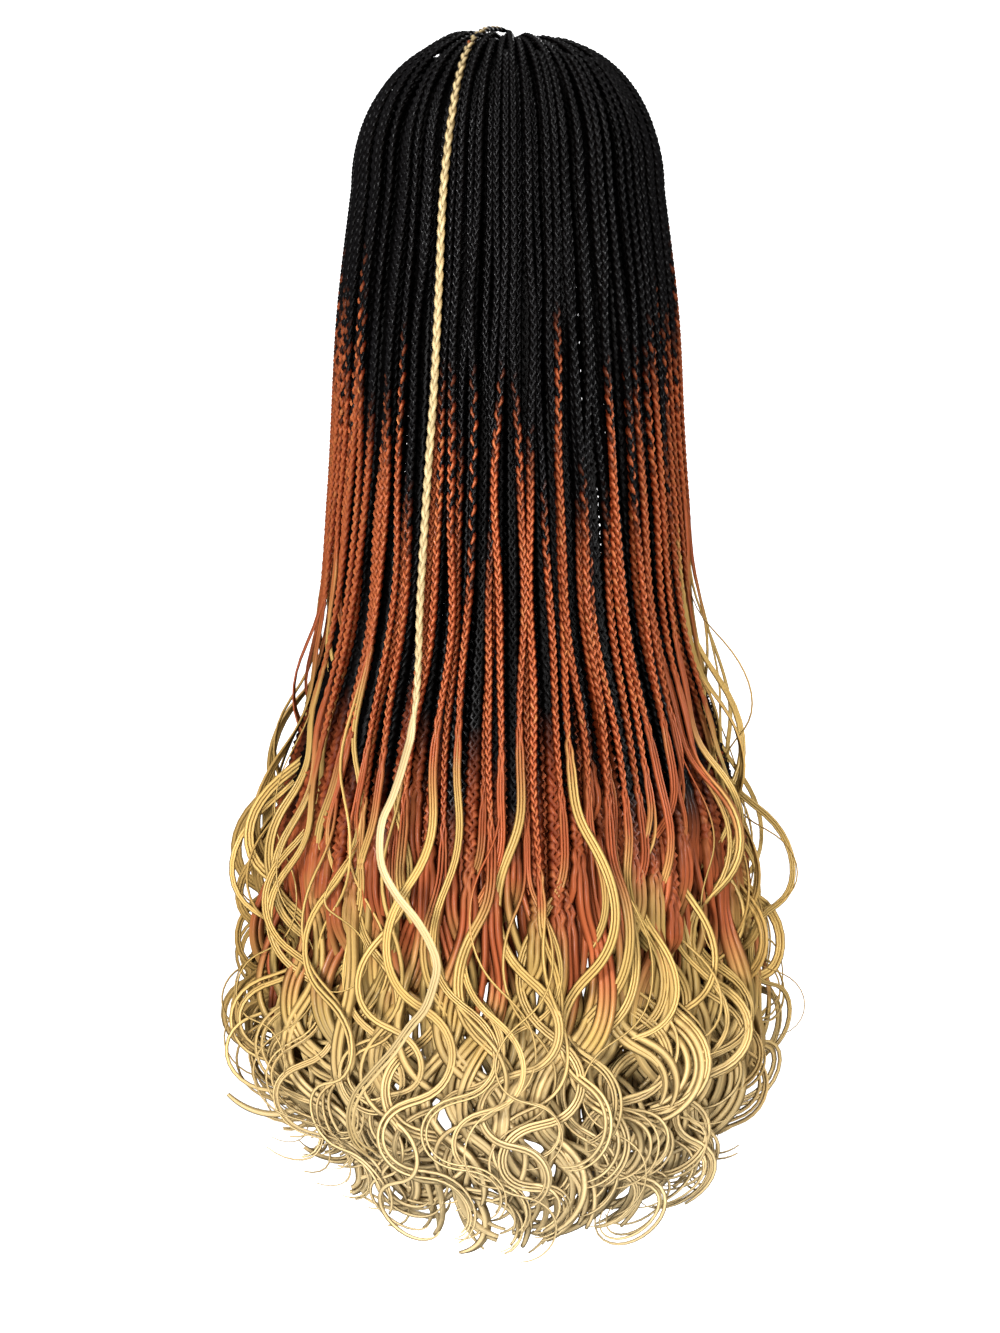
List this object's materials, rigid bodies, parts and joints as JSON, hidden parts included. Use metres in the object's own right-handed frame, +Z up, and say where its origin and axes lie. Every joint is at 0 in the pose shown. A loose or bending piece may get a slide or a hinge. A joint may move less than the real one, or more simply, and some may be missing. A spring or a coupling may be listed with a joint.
{
  "type": "braid wig",
  "caption": "Long braided wig fading from black through copper to blonde, with a crown parting, loose curly ends and a pale accent braid down the back, on an open stretch cap.",
  "frame": {"origin": "the seat on the head's crown, at the top of the cap's inside", "axes": "+Z up, -Y the back of the wig, which the picture shows, +Y the face side, +X the picture's right"},
  "size_m": [0.3796, 0.3265, 0.8131],
  "materials": {
    "cap_fabric": "black stretch knit",
    "black_braid": "black synthetic hair fibre, braided",
    "copper_braid": "copper synthetic hair fibre, braided, black at the roots and blonde at the ends",
    "blonde_braid": "blonde synthetic hair fibre, braided"
  },
  "bodies": {
    "root": {"cap": "cap_fabric", "crown_knot": "black_braid", "highlight_braid": "blonde_braid", "inner_braids_01": "black_braid", "inner_braids_02": "black_braid", "inner_braids_03": "black_braid", "inner_braids_04": "black_braid", "inner_braids_05": "black_braid", "inner_braids_06": "black_braid", "inner_braids_07": "black_braid", "outer_braids_01": "copper_braid", "outer_braids_02": "copper_braid", "outer_braids_03": "copper_braid", "outer_braids_04": "copper_braid", "outer_braids_05": "copper_braid", "outer_braids_06": "copper_braid", "outer_braids_07": "copper_braid", "outer_braids_08": "copper_braid", "outer_braids_09": "copper_braid", "outer_braids_10": "copper_braid", "outer_braids_11": "copper_braid", "outer_braids_12": "copper_braid", "outer_braids_13": "copper_braid", "outer_braids_14": "copper_braid", "outer_braids_15": "copper_braid", "outer_braids_16": "copper_braid"}
  },
  "joints": []
}
